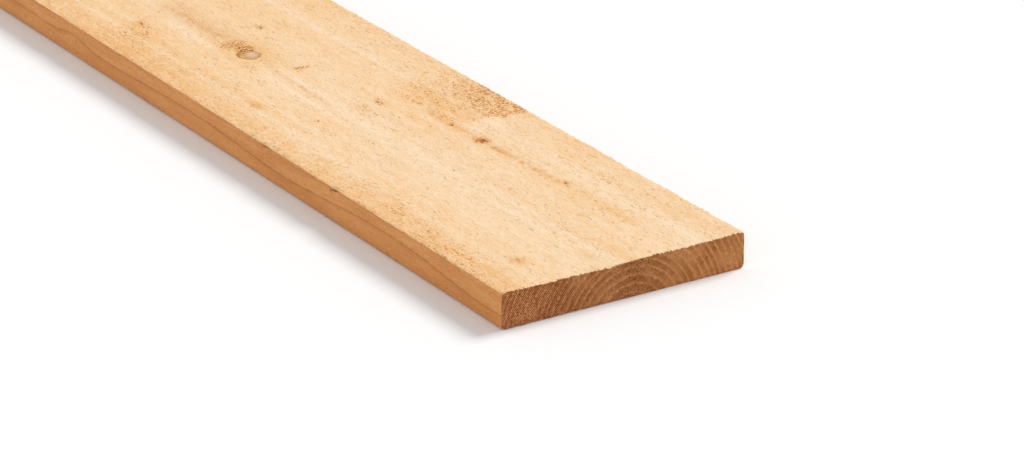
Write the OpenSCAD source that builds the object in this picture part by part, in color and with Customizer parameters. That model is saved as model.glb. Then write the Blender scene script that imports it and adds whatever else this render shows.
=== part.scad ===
// Sawn softwood plank, one piece of timber lying flat with its planed face down.
// X runs along the length, Y across the width and Z up from the planed face.
// The origin is on the planed face, at the middle of the length and the width.

/* [Stock] */
// Length from one square-cut end to the other
plank_length = 1829; // [600:1:4880]
// Width from one planed edge to the other
plank_width = 184; // [90:1:290]
// Thickness from the planed face to the strips along the sawn face's edges
plank_thickness = 25; // [16:0.5:40]

/* [Sawn face] */
// Depth of the shallow hollow that cupping in drying leaves across the sawn face
hollow_depth = 0.8; // [0.4:0.1:2]
// Width of the level strip between the hollow and each upper corner
hollow_margin = 4; // [2:0.5:10]

/* [Corners] */
// Radius of the two corners eased by the planer, beside the planed face
eased_radius = 3; // [1:0.25:5]
// Radius of the two corners beside the sawn face, which are only just blunt
blunt_radius = 0.8; // [0.4:0.1:1.5]

/* [Hidden] */

// The hollow is an arc whose two ends are level with the strips beside it.
hollow_width = plank_width - 2 * (hollow_margin + blunt_radius);
hollow_radius = (pow(hollow_width / 2, 2) + pow(hollow_depth, 2)) / (2 * hollow_depth);
hollow_center_z = plank_thickness - hollow_depth + hollow_radius;

// A facet of the hollow is at most this long, and a corner's circle has this many sides.
hollow_facet_length = 10;
corner_sides = 64;
hollow_sides = 4 * ceil(PI * hollow_radius / 2 / hollow_facet_length);

// One corner's circle, set in from the edge on the given side (-1 or 1) of the section.
module corner(side, radius, center_z) {
    translate([side * (plank_width / 2 - radius), center_z])
        circle(r = radius, $fn = corner_sides);
}

// A bar of the section, set in from both edges, between two heights.
module bar(inset, bottom_z, top_z) {
    translate([inset - plank_width / 2, bottom_z])
        square([plank_width - 2 * inset, top_z - bottom_z]);
}

// The section before cupping: a rectangle with eased lower and blunt upper corners.
module square_section() {
    bar(0, eased_radius, plank_thickness - blunt_radius);
    bar(eased_radius, 0, plank_thickness - blunt_radius);
    bar(blunt_radius, eased_radius, plank_thickness);
    for (side = [-1, 1]) {
        corner(side, eased_radius, eased_radius);
        corner(side, blunt_radius, plank_thickness - blunt_radius);
    }
}

// The section that runs along the whole plank, drawn with width across and height up.
module section() {
    difference() {
        square_section();
        translate([0, hollow_center_z])
            circle(r = hollow_radius, $fn = hollow_sides);
    }
}

module plank() {
    color([0.93, 0.81, 0.64])
        translate([-plank_length / 2, 0, 0])
            rotate([90, 0, 90])
                linear_extrude(plank_length)
                    section();
}

plank();
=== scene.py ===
# %% [markdown]
# A rough sawn softwood plank
# The CAD model gives one board: its length, width and thickness, its hollow sawn face and its eased corners.
# This lesson keeps those sizes and dresses the board as timber: torn saw marks, knots, growth rings, fibres.
# Everything is worked out in metres in the CAD frame: X along the board, Y across it and Z up.

import bpy
import numpy as np
from mathutils import Matrix, Vector


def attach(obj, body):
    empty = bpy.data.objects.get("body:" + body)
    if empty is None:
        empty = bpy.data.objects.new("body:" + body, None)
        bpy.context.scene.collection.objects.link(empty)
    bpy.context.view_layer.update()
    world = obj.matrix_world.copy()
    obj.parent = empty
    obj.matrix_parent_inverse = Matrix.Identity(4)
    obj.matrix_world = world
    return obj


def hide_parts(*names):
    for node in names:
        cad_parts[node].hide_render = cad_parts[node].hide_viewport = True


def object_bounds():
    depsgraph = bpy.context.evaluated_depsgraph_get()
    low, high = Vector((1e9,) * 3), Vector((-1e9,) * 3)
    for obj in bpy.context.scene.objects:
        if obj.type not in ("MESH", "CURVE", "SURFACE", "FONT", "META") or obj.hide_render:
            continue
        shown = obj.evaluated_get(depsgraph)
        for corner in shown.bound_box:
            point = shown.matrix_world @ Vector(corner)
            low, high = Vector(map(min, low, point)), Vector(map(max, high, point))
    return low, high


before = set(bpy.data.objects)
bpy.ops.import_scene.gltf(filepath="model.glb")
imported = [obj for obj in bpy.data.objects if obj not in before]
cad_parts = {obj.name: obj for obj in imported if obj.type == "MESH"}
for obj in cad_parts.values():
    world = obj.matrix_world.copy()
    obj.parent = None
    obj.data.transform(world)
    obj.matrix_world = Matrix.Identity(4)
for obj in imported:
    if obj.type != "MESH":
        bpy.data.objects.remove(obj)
cad_low, cad_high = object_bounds()
LENGTH, WIDTH, THICKNESS = cad_high - cad_low
MM = 0.001
print("plank", round(LENGTH / MM), "x", round(WIDTH / MM), "x", round(THICKNESS / MM), "mm")

# %% [markdown]
# Reading the section from the CAD solid
# The sawn face of the board is slightly hollow, because timber cups as it dries.
# The depth of that hollow could be typed in again, but then the two models could drift apart.
# The corners of the CAD mesh already hold it, so it is measured there.

# %% Measure the hollow and the corner radii
# A point nearer than this to a plane counts as lying on it.
TOUCH = 0.005 * MM
cad_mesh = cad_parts["plank"].data
cad_points = np.empty(len(cad_mesh.vertices) * 3)
cad_mesh.vertices.foreach_get("co", cad_points)
cad_points = cad_points.reshape(-1, 3)
upper = cad_points[cad_points[:, 2] > THICKNESS / 2]
level = upper[upper[:, 2] > THICKNESS - TOUCH]
at_left_edge = cad_points[cad_points[:, 1] < -WIDTH / 2 + TOUCH]
at_floor = cad_points[cad_points[:, 2] < TOUCH]
HOLLOW_DEPTH = THICKNESS - upper[:, 2].min()
HOLLOW_HALF = np.abs(level[:, 1]).min()
BLUNT_RADIUS = THICKNESS - at_left_edge[:, 2].max()
EASED_RADIUS = WIDTH / 2 + at_floor[:, 1].min()
print("hollow", round(HOLLOW_DEPTH / MM, 2), "mm deep; corners", round(BLUNT_RADIUS / MM, 2),
      "and", round(EASED_RADIUS / MM, 2), "mm")

# %% [markdown]
# Where things are on the board
# A sawyer would mark a board from one end and one edge, so the marks here are in millimetres
# from the near end and from the left edge of the sawn face.
# Each is a named list, placed from the photograph, or a guess where the board doesn't show.
# One small function turns such marks into frame coordinates.

# %% Marks along and across the board
def to_frame(along, across):
    """X and Y in metres of a mark: half the length less along, and across less half the width."""
    return LENGTH / 2 - np.multiply(along, MM), np.multiply(across, MM) - WIDTH / 2


def to_marks(x, y):
    """The way back: millimetres along and across of a place in the frame."""
    return (LENGTH / 2 - x) / MM, (y + WIDTH / 2) / MM


# Each knot: along, across, height on the board where it surfaces, and its radius there, all in mm.
FACE_Z = THICKNESS / MM
KNOTS = {
    "branch": (454.8, 77.2, FACE_Z, 7.8),
    "pin": (225.4, 127.4, FACE_Z, 3.6),
    "far_branch": (1182, 118, FACE_Z, 7.0),
    "far_pin": (1497, 52, FACE_Z, 3.0),
}
# Places where the rings only swirl round a branch that the saw missed, given in the same way.
SWIRLS = [(577, 0, 11.5, 5.0), (1390, 184, 12.0, 5.0)]
# The middle of the tree, across the board from the left edge and up from the underside.
PITH_ACROSS, PITH_UP = 97.0, -19.0
print(len(KNOTS), "knots, pith", PITH_ACROSS, "mm across and", PITH_UP, "mm up")

# %% [markdown]
# Smooth irregularity
# Timber is never even, but it isn't noisy like sand either: it wavers, mostly along the grain.
# Image textures could hold that, but a sum of seeded cosine waves is smooth, repeatable and needs no file.
# Long wavelengths along the board and short ones across it give the stretched look of wood.

# %% A wavering field from cosine waves
def waver(seed, wavelengths, *axes, waves=28):
    """Sum of cosine waves of random direction and phase, of about these wavelengths in mm on each axis.
    The sum is scaled so that its spread is about 1."""
    draw = np.random.default_rng(seed)
    total = 0
    for _ in range(waves):
        phase = draw.uniform(0, 2 * np.pi)
        for axis, wavelength in zip(axes, wavelengths):
            phase = phase + 2 * np.pi * draw.normal() * axis / (wavelength * MM)
        total = total + np.cos(phase)
    return total * np.sqrt(2 / waves)


def bell(distance, half_width):
    """A smooth bump of height 1: e to the power of minus the square of distance over half width."""
    return np.exp(-np.square(distance / half_width))


def ramp(value, start, end):
    """A smooth step from 0 at start to 1 at end, by the cubic 3t^2 - 2t^3."""
    share = np.clip((value - start) / (end - start), 0, 1)
    return share * share * (3 - 2 * share)


print("field spread", np.std(waver(1, (50,), np.linspace(0, 2, 4000))).round(2))

# %% [markdown]
# Torn grain
# A saw lifts fibres instead of cutting them where the grain rises to meet it, mostly beyond knots.
# The same measure, from 0 for clean to 1 for torn, later drives both the relief and the colour,
# so that every dark fleck has a hollow of its own.

# %% How torn the sawn face is
# The large patch starts this far along, and sooner by a step between two places across, all in mm.
PATCH_START, PATCH_STEP, STEP_ACROSS = 259, 5.5, (157, 163)
# That start is wavy, by this much and with this many mm to a radian, and soft over this much either way.
START_WAVE, START_RADIAN, START_SOFT = 1.5, 3.1, 1
# The patch is blotchy: its middle level, its spread, and the size of blotches along and across in mm.
BLOTCH_LEVEL, BLOTCH_SPREAD, BLOTCH_SIZE = 0.85, 0.3, (24, 10)
# Its dense and sparse parts: how torn, where it starts and is full across, where it fades and ends along.
PATCH_PARTS = [(0.9, (140, 168), (290, 356)), (0.4, (118, 132), (320, 366))]
# Rough strips: how torn the left edge is and its half width in mm, then the right part and where it is.
LEFT_ROUGH, LEFT_HALF, RIGHT_ROUGH, RIGHT_PART = 0.26, 20, 0.14, (120, 184)
# Small torn places: along, across, half length, half width in mm, and how torn.
TORN_PLACES = [
    (318, 91, 14, 6, 0.5), (322, 106, 6, 3, 0.5), (316, 53, 3, 2, 0.4), (412, 95, 5, 8, 0.4),
    (499, 111, 7, 3, 0.5), (530, 24, 34, 20, 0.25), (552, 43, 8, 3.5, 0.7), (476, 78, 12, 12, 0.4),
    (132, 134, 4, 3, 0.5), (434, 66, 9, 5, 0.4), (41, 38, 7, 5, 0.4), (365, 32, 9, 4, 0.4),
    (478, 106, 9, 4, 0.4), (430, 26, 90, 15, 0.2), (150, 20, 60, 10, 0.2), (60, 92, 50, 6, 0.25),
    (70, 8, 60, 9, 0.25), (1208, 116, 18, 12, 0.9),
]


def torn(along, across):
    """A patch with a stepped edge across the grain, plus rough strips at both edges and small places."""
    past_start = along - PATCH_START + PATCH_STEP * ramp(across, *STEP_ACROSS)
    past_start = past_start + START_WAVE * np.sin(across / START_RADIAN)
    parts = [amount * ramp(across, *full) * (1 - ramp(along, *fade)) for amount, full, fade in PATCH_PARTS]
    blotches = BLOTCH_LEVEL + BLOTCH_SPREAD * waver(14, BLOTCH_SIZE, along * MM, across * MM)
    patch = ramp(past_start, -START_SOFT, START_SOFT) * np.maximum(*parts) * blotches
    strips = LEFT_ROUGH * bell(across, LEFT_HALF) + RIGHT_ROUGH * ramp(across, *RIGHT_PART)
    total = patch + strips
    for place_along, place_across, half_length, half_width, amount in TORN_PLACES:
        apart = np.hypot((along - place_along) / half_length, (across - place_across) / half_width)
        total = total + amount * bell(apart, 1)
    return np.clip(total, 0, 1)


print("torn at the patch", torn(300, 170).round(2), "and in the middle", torn(150, 90).round(2))

# %% [markdown]
# The height of the sawn face
# The face starts as the CAD hollow. A low ridge follows the heart of the tree, a band saw leaves
# faint waves across the board, torn places are pitted, and the hard branch knot stands a little proud.
# One function of X and Y gives all of it, so the loose fibres can be set on the very same surface.

# %% Height of the sawn face
# The ridge over the heart: height, middle across, half width and how far along it sinks to half, in mm.
RIDGE, RIDGE_ACROSS, RIDGE_HALF, RIDGE_FADE = 0.62, 110, 19, 500
# The face lies this much below the CAD face, in mm, so that its bumps have room.
SUNK = 0.12
# The saw's waves: height and pitch in mm, and how far a wave lags for each mm across.
SAW_WAVE, SAW_PITCH, SAW_LAG = 0.04, 8.5, 0.05
# Heights in mm of the slow sway, the fuzz, the pits of a full tear and the crown and groove of a knot.
SWAY, FUZZ, PIT, CROWN = 0.08, 0.05, 0.18, 0.3
# The crown's half width as a share of the knot's radius, and the groove's half width in mm.
CROWN_SHARE, GROOVE_HALF = 0.7, 1.6
# Wear of the end rims: depth and reach in mm. One notch in them: depth, reach, place across and half width.
RIM_WEAR, RIM_REACH = 0.22, 2.2
NOTCH, NOTCH_REACH, NOTCH_ACROSS, NOTCH_HALF = 0.7, 3, 80, 1.3
# Rim wear and pits follow a wavering field: how much is added to it, and the most that then counts.
RIM_SHIFT, RIM_MOST, PIT_SHIFT, PIT_MOST = 0.4, 2, -0.2, 1.6
# Wavelengths along and across in mm of the saw's wander, the sway, the rim wear, the pits and the fuzz.
WANDER_SIZE, SWAY_SIZE, RIM_SIZE, PIT_SIZE, FUZZ_SIZE = (160, 60), (120, 26), (9, 2.6), (6, 4), (9, 3.2)


def sawn_height(x, y):
    """CAD hollow (a parabola between level strips) plus ridge, saw waves, pits, rim and knots, in metres."""
    along, across = to_marks(x, y)
    hollow = HOLLOW_DEPTH * np.clip(1 - np.square(y / HOLLOW_HALF), 0, 1)
    ridge = RIDGE * bell(across - RIDGE_ACROSS, RIDGE_HALF) * (0.5 + 0.5 * bell(along, RIDGE_FADE)) - SUNK
    wander = waver(3, WANDER_SIZE, x, y)
    saw = SAW_WAVE * np.sin(2 * np.pi * (along + SAW_LAG * across) / SAW_PITCH + wander)
    sway = SWAY * waver(4, SWAY_SIZE, x, y)
    from_end = np.minimum(along, LENGTH / MM - along)
    worn = np.clip(RIM_SHIFT + waver(7, RIM_SIZE, x, y), 0, RIM_MOST)
    rim = -RIM_WEAR * bell(from_end, RIM_REACH) * worn
    rim = rim - NOTCH * bell(from_end, NOTCH_REACH) * bell(across - NOTCH_ACROSS, NOTCH_HALF)
    pits = -PIT * torn(along, across) * np.clip(PIT_SHIFT + waver(5, PIT_SIZE, x, y), 0, PIT_MOST)
    fuzz = FUZZ * waver(6, FUZZ_SIZE, x, y)
    height = THICKNESS - hollow + MM * (ridge + saw + sway + pits + fuzz + rim)
    for name in ("branch", "far_branch"):
        knot_along, knot_across, _, radius = KNOTS[name]
        apart = np.hypot(along - knot_along, across - knot_across)
        groove = CROWN * bell(apart - radius, GROOVE_HALF)
        height = height + MM * (CROWN * bell(apart, CROWN_SHARE * radius) - groove)
    return np.minimum(height, THICKNESS)


print("middle of the near end is", round(float(THICKNESS - sawn_height(LENGTH / 2, 0)) / MM, 2), "mm low")

# %% [markdown]
# Spacing the mesh lines
# A grid with even spacing would waste faces on plain wood and miss the knot, the corners and the cut ends.
# The lines are spaced by a density instead: where it is high, lines crowd together.
# Its running total is inverted, which is how one draws even steps from an uneven ruler.

# %% Graded spacing
TOP_STEPS, LENGTH_STEPS, RULER_STEPS = 104, 566, 20000
# Insets in mm of the stations beside each end, and of the first one that is spaced by density.
LIP_REACH, GRADED_FROM = np.array([0, 0.25, 0.7, 1.4, 2.4, 3.8]), 5.6
LIP_ROWS = len(LIP_REACH)
# Where lines crowd, in mm: centre, half width and extra density.
ACROSS_CROWDS = [(0, 4, 2), (77, 12, 1.2), (184, 4, 2), (160, 22, 0.6)]
ALONG_CROWDS = [(0, 620, 2.2), (454, 18, 4), (300, 60, 1.5)]


def graded(start, end, count, crowds):
    """count + 1 places from start to end in mm, crowded near each centre by bells of extra density."""
    ruler = np.linspace(start, end, RULER_STEPS + 1)
    density = 1 + sum(extra * bell(ruler - centre, half_width) for centre, half_width, extra in crowds)
    running = np.concatenate([[0], np.cumsum((density[1:] + density[:-1]) / 2)])
    return np.interp(np.linspace(0, running[-1], count + 1), running, ruler)


across_lines = graded(BLUNT_RADIUS / MM, (WIDTH - BLUNT_RADIUS) / MM, TOP_STEPS, ACROSS_CROWDS)
along_lines = graded(GRADED_FROM, LENGTH / MM - GRADED_FROM, LENGTH_STEPS, ALONG_CROWDS)
along_lines = np.concatenate([LIP_REACH, along_lines, LENGTH / MM - LIP_REACH[::-1]])
print("finest steps", np.diff(across_lines).min().round(2), "mm across,",
      np.diff(along_lines[LIP_ROWS:-LIP_ROWS]).min().round(2), "mm along")

# %% [markdown]
# The section as a chain of points
# Walking round the section from the underside's left corner gives: eased corner, planed edge, blunt corner,
# sawn face, and the same again down the right side. The underside closes it.
# The chain is carried along the board, station by station, like a profile along a path.

# %% Chain of the section
EASED_STEPS, EDGE_STEPS, BLUNT_STEPS = 5, 8, 3
SIDE_STEPS = EASED_STEPS + EDGE_STEPS + BLUNT_STEPS


def left_side():
    """Y and Z up the left side: a quarter circle, a straight edge and a small quarter circle."""
    turn = np.linspace(1.5 * np.pi, np.pi, EASED_STEPS + 1)
    eased = np.stack([EASED_RADIUS * (1 + np.cos(turn)), EASED_RADIUS * (1 + np.sin(turn))])
    rise = np.linspace(EASED_RADIUS, THICKNESS - BLUNT_RADIUS, EDGE_STEPS + 1)[1:]
    edge = np.stack([0 * rise, rise])
    turn = np.linspace(np.pi, 0.5 * np.pi, BLUNT_STEPS + 1)[1:]
    blunt = np.stack([BLUNT_RADIUS * (1 + np.cos(turn)), THICKNESS - BLUNT_RADIUS * (1 - np.sin(turn))])
    return np.concatenate([eased, edge, blunt], axis=1) - [[WIDTH / 2], [0]]


side = left_side()
face = np.stack([across_lines[1:-1] * MM - WIDTH / 2, np.full(TOP_STEPS - 1, THICKNESS)])
chain_y, chain_z = np.concatenate([side, face, side[:, ::-1] * [[-1], [1]]], axis=1)
CHAIN = len(chain_y)
on_face = (np.arange(CHAIN) >= SIDE_STEPS) & (np.arange(CHAIN) < CHAIN - SIDE_STEPS)
print(CHAIN, "points in the chain,", on_face.sum(), "of them on the sawn face")

# %% [markdown]
# The long surface
# Points on the sawn face take the height function. The planed edges stay true, but a saw chips
# the sharp upper corner here and there, so near it the edge is nibbled inwards by a wavering amount.
# The cut ends are never perfectly square either, so the last stations waver a fraction of a millimetre.

# %% Carry the chain along the board
# Chips in the left upper corner: along, half length and depth in mm.
CHIPS = [(205, 7, 1.5), (296, 7, 0.9), (351, 5, 0.6), (92, 4, 0.5), (588, 8, 0.8), (880, 9, 1),
         (1320, 8, 0.9)]
# Wear of both upper corners in mm: everywhere, the spread of short and of long wear, and the most.
WEAR, SHORT_WEAR, LONG_WEAR, MOST_WEAR = 0.2, 0.2, 0.12, 3
# How far wear reaches from the corner and from the edge, and how far it goes down for each mm inwards.
WEAR_REACH, WEAR_WIDTH, WEAR_DOWN = 2.2 * MM, 4 * MM, 0.6
# The waver of the ends in mm: its middle, its spread and the most.
END_WAVER, END_SPREAD, END_MOST = 0.12, 0.1, 0.5

x_grid, y_grid = np.meshgrid(LENGTH / 2 - along_lines * MM, chain_y, indexing="ij")
z_grid = np.broadcast_to(chain_z, x_grid.shape).copy()
along_grid = (LENGTH / 2 - x_grid) / MM
blend_face = np.where(on_face, 1.0, np.clip((chain_z - THICKNESS) / BLUNT_RADIUS + 1, 0, 1))
z_grid += blend_face * (sawn_height(x_grid, y_grid) - THICKNESS)
short_wear = SHORT_WEAR * waver(11, (4.5, 40), x_grid, y_grid)
chip = WEAR + short_wear + LONG_WEAR * waver(12, (60, 90), x_grid, y_grid)
for chip_along, chip_half, chip_depth in CHIPS:
    chip = chip + chip_depth * bell(along_grid - chip_along, chip_half) * (y_grid < 0)
below_corner = np.maximum(THICKNESS - chain_z, 0) + np.maximum(WIDTH / 2 - np.abs(chain_y), 0)
nibble = MM * np.clip(chip, 0, MOST_WEAR) * bell(below_corner, WEAR_REACH)
y_grid -= np.sign(y_grid) * nibble * (np.abs(chain_y) > WIDTH / 2 - WEAR_WIDTH)
z_grid -= WEAR_DOWN * nibble * (chain_z > THICKNESS / 2)
end_waver = MM * np.clip(END_WAVER + END_SPREAD * waver(13, (7, 7), chain_y, chain_z), 0, END_MOST)
x_grid[0] -= end_waver
x_grid[-1] += end_waver[::-1]
chain_points = np.stack([x_grid, y_grid, z_grid], axis=-1)
STATIONS = len(along_lines)
print(STATIONS, "stations,", STATIONS * CHAIN, "points")

# %% [markdown]
# The underside and its torn lips
# The underside is planed flat, so a few wide strips are enough for it.
# Where the cross-cut saw left the wood, at the lower edge of each end, it tore out small teeth of fibre.
# Only that narrow lip gets fine points, and a stitch joins it to the coarse strips.

# %% Underside points
UNDER_STEPS, LIP_STEPS = 20, 300
# Torn teeth: pitch, least height, how much higher they are on the left, and the most, in mm.
TOOTH_PITCH, TOOTH_LEAST, TOOTH_EXTRA, TOOTH_MOST = 2.5, 0.3, 1.8, 2
# Where across, in mm, teeth begin, the higher ones fade out, and all start to die away, with its reach.
TEETH_BEGIN, HIGH_FADE, TEETH_END, TEETH_END_REACH = (1, 5), (45, 105), 150, 25
# How uneven teeth are: spread of their height and of their place in pitches, each with its size in mm.
UNEVEN_HEIGHT, HEIGHT_SIZE, UNEVEN_PLACE, PLACE_SIZE = 0.3, 14, 0.35, 9
NEAR_SEED, FAR_SEED = 21, 31


def tooth_size(y, seed):
    """Height in mm that the torn teeth reach at Y: largest on the left and fading towards the right."""
    across = to_marks(0, y)[1]
    fade = 1 - ramp(across, *HIGH_FADE)
    present = bell(np.maximum(across - TEETH_END, 0), TEETH_END_REACH) * ramp(across, *TEETH_BEGIN)
    uneven = 1 + UNEVEN_HEIGHT * waver(seed, (HEIGHT_SIZE,), y)
    return np.clip((TOOTH_LEAST + TOOTH_EXTRA * fade) * present * uneven, 0, TOOTH_MOST)


def lip_height(y, inset, seed):
    """Height of the torn lip: triangle waves of about the tooth pitch, fading away from the end."""
    beat = y / (TOOTH_PITCH * MM) + UNEVEN_PLACE * waver(seed + 1, (PLACE_SIZE,), y)
    wave = np.abs(2 * (beat - np.floor(beat)) - 1)
    return MM * tooth_size(y, seed) * wave * (1 - inset / LIP_REACH[-1])


under_y = np.linspace(chain_y[-1], chain_y[0], UNDER_STEPS + 1)[1:-1]
lip_y = np.linspace(chain_y[-1], chain_y[0], LIP_STEPS + 1)[1:-1]


def lip_points(x_row, reach, seed):
    """Rows of fine underside points for one end: every X of x_row with the lip height at that inset."""
    x, y = np.meshgrid(x_row, lip_y, indexing="ij")
    z = lip_height(y, reach[:, None], seed)
    return np.stack([x, y, z], axis=-1)


station_x = LENGTH / 2 - along_lines * MM
near_lip = lip_points(station_x[:LIP_ROWS], LIP_REACH, NEAR_SEED)
far_lip = lip_points(station_x[-LIP_ROWS:], LIP_REACH[::-1], FAR_SEED)
plain_x, plain_y = np.meshgrid(station_x[LIP_ROWS:-LIP_ROWS], under_y, indexing="ij")
under_points = np.stack([plain_x, plain_y, 0 * plain_x], axis=-1)
print("teeth up to", round(near_lip[..., 2].max() / MM, 2), "mm high")

# %% [markdown]
# The cut ends
# Each end is a sheet of rows between the sawn face and the underside, sharing its border with the chain.
# The saw's teeth leave fine slanting steps, so the sheet is set inwards by a tenth of a millimetre or so.

# %% Points of the cut ends
# The saw's steps: pitch in mm, slant, and the least and the extra depth in mm.
STEP_PITCH, STEP_SLANT, STEP_LEAST, STEP_EXTRA = 3.4, 0.55, 0.05, 0.13
# The lowest row lies above the teeth by this factor.
ABOVE_TEETH = 1.15


def end_points(station, inward, seed):
    """Rows across one end: between the two sides in Y, and between the lip and the sawn face in Z."""
    border = chain_points[station]
    left, right = border[1:SIDE_STEPS], border[-2:-SIDE_STEPS - 1:-1]
    top = border[SIDE_STEPS:CHAIN - SIDE_STEPS]
    share = (top[1:-1, 1] - top[0, 1]) / (top[-1, 1] - top[0, 1])
    y = left[:, None, 1] + share * (right[:, None, 1] - left[:, None, 1])
    low = MM * ABOVE_TEETH * tooth_size(y, seed)
    rise = (left[:, 2] / THICKNESS)[:, None]
    z = low + rise * (top[1:-1, 2] - low)
    slanted = 2 * np.pi * (y + STEP_SLANT * z) / (STEP_PITCH * MM)
    steps = 0.5 + 0.5 * np.sin(slanted + waver(seed + 2, (9, 9), y, z))
    x = border[0, 0] + inward * MM * (STEP_LEAST + STEP_EXTRA * steps)
    return np.stack([x, y, z], axis=-1)


near_end = end_points(0, -1, NEAR_SEED)
far_end = end_points(-1, 1, FAR_SEED)
print(near_end.shape[0], "rows of", near_end.shape[1], "points on each end")

# %% [markdown]
# Joining the sheets into one closed skin
# All points go into one list, and each sheet keeps a table of point numbers, with shared borders.
# Sheets with the same steps are joined by four-sided faces. Where a fine row meets a coarse one,
# a stitch walks along both rows and always takes the nearer next point, which gives triangles.

# %% Point numbers and faces
def number(points, start):
    """Table of point numbers for a sheet of points, counting on from start."""
    return start + np.arange(points.shape[0] * points.shape[1]).reshape(points.shape[:2])


def quads(rows):
    """Four-sided faces between the neighbouring rows of a table of point numbers."""
    corners = [rows[:-1, :-1], rows[:-1, 1:], rows[1:, 1:], rows[1:, :-1]]
    return np.stack(corners, axis=-1).reshape(-1, 4)


def stitch(first, second):
    """Triangles between rows of unlike counts: a step goes to the row whose next point has the least Y."""
    a, b = points[first, 1], points[second, 1]
    facing_a = second[np.searchsorted(b, a[1:], "left").clip(1) - 1]
    facing_b = first[np.searchsorted(a, b[1:], "right").clip(1) - 1]
    step_a = np.stack([first[:-1], facing_a, first[1:]], axis=1)
    step_b = np.stack([facing_b, second[:-1], second[1:]], axis=1)
    return np.concatenate([step_a, step_b])


sheets = [chain_points, near_lip, under_points, far_lip, near_end, far_end]
starts = np.cumsum([0] + [sheet.shape[0] * sheet.shape[1] for sheet in sheets])
points = np.concatenate([sheet.reshape(-1, 3) for sheet in sheets])
chain_n, near_lip_n, under_n, far_lip_n, near_end_n, far_end_n = [
    number(sheet, start) for sheet, start in zip(sheets, starts)]


def with_borders(inner, stations):
    """Underside rows with the chain's last and first points added, so that they reach both sides."""
    return np.concatenate([chain_n[stations, -1:], inner, chain_n[stations, :1]], axis=1)


near_rows = with_borders(near_lip_n, slice(0, LIP_ROWS))
plain_rows = with_borders(under_n, slice(LIP_ROWS, STATIONS - LIP_ROWS))
far_rows = with_borders(far_lip_n, slice(STATIONS - LIP_ROWS, STATIONS))
print(len(points), "points in", len(sheets), "sheets")

# %% Faces of the skin and of the ends
def end_faces(inner, station, last_row):
    """Quads from the sawn face down the rows of an end, then a stitch to its torn lip."""
    border = chain_n[station]
    left, right = border[1:SIDE_STEPS, None], border[-2:-SIDE_STEPS - 1:-1, None]
    rows = np.concatenate([left, inner, right], axis=1)[::-1]
    rows = np.concatenate([border[SIDE_STEPS:CHAIN - SIDE_STEPS][None], rows])
    return quads(rows), stitch(rows[-1], last_row[::-1])


skin_quads = quads(chain_n)
face_column = np.tile(np.arange(CHAIN - 1), STATIONS - 1)
skin_on_face = (face_column >= SIDE_STEPS - 2) & (face_column < CHAIN - SIDE_STEPS + 1)
under_quads = np.concatenate([quads(rows) for rows in (near_rows, plain_rows, far_rows)])
under_triangles = np.concatenate([stitch(near_rows[-1, ::-1], plain_rows[0, ::-1]),
                                  stitch(plain_rows[-1, ::-1], far_rows[0, ::-1])])
near_quads, near_triangles = end_faces(near_end_n, 0, near_rows[0])
far_quads, far_triangles = end_faces(far_end_n, -1, far_rows[-1])
# Some of these run the wrong way round and are turned, so that all faces point outwards.
near_quads, far_triangles = near_quads[:, ::-1], far_triangles[:, ::-1]
SAWN, PLANED, CUT = 0, 1, 2
four_sided = np.concatenate([skin_quads, under_quads, near_quads, far_quads])
four_zone = np.concatenate([np.where(skin_on_face, SAWN, PLANED), np.full(len(under_quads), PLANED),
                            np.full(len(near_quads) + len(far_quads), CUT)])
three_sided = np.concatenate([under_triangles, near_triangles, far_triangles])
three_zone = np.concatenate([np.full(len(under_triangles), PLANED),
                             np.full(len(near_triangles) + len(far_triangles), CUT)])
print(len(four_sided) * 2 + len(three_sided), "triangles in the plank")

# %% [markdown]
# Putting the arrays into a mesh
# Whole arrays go in with foreach_set, which is far quicker than adding faces one by one.
# Faces are listed so that they point outwards, and only corners sharper than a limit stay sharp.

# %% Build the plank's mesh
SHARP_FROM = np.radians(38)


def mesh_from(name, points, four_sided, three_sided):
    """A mesh from arrays: all corners in a row, each face starting where the last one ended."""
    mesh = bpy.data.meshes.new(name)
    corners = np.concatenate([four_sided.ravel(), three_sided.ravel()]).astype(np.int32)
    counts = np.concatenate([np.full(len(four_sided), 4), np.full(len(three_sided), 3)])
    begin = np.concatenate([[0], np.cumsum(counts)[:-1]]).astype(np.int32)
    mesh.vertices.add(len(points))
    mesh.vertices.foreach_set("co", points.astype(np.float32).ravel())
    mesh.loops.add(len(corners))
    mesh.loops.foreach_set("vertex_index", corners)
    mesh.polygons.add(len(counts))
    mesh.polygons.foreach_set("loop_start", begin)
    mesh.update(calc_edges=True)
    mesh.validate()
    return mesh


def put_in_scene(name, data):
    """A new object of that data, linked to the scene."""
    placed = bpy.data.objects.new(name, data)
    bpy.context.scene.collection.objects.link(placed)
    return placed


plank_mesh = mesh_from("plank_timber", points, four_sided, three_sided)
plank_mesh.polygons.foreach_set("material_index", np.concatenate([four_zone, three_zone]).astype(np.int32))
plank_mesh.shade_smooth()
plank_mesh.set_sharp_from_angle(angle=SHARP_FROM)
plank = put_in_scene("plank_timber", plank_mesh)
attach(plank, "root")
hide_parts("plank")
print(len(plank_mesh.polygons), "faces,", len(plank_mesh.vertices), "vertices")

# %% [markdown]
# A map of the skin
# A painter unfolds a box before colouring it flat. The skin is unfolded in the same way, for programs that
# need its colours as flat pictures: two long bands with the sawn face and both edges, one for each half of
# the length, then the underside and the two ends. An automatic layout would leave hardly any room for the
# fine marks of the ends, so the boxes are given one by one. The materials of this lesson don't read the map.

# %% Unfold the skin
MAP_NAME = "OFBake"
# Boxes on the map, as shares of its side: left, bottom, width and height.
BAND_BOXES = [(0.008, 0.008, 0.984, 0.36), (0.008, 0.376, 0.984, 0.36)]
UNDER_BOX = (0.008, 0.744, 0.984, 0.112)
NEAR_BOX, FAR_BOX = (0.008, 0.864, 0.484, 0.128), (0.508, 0.864, 0.484, 0.128)


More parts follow.
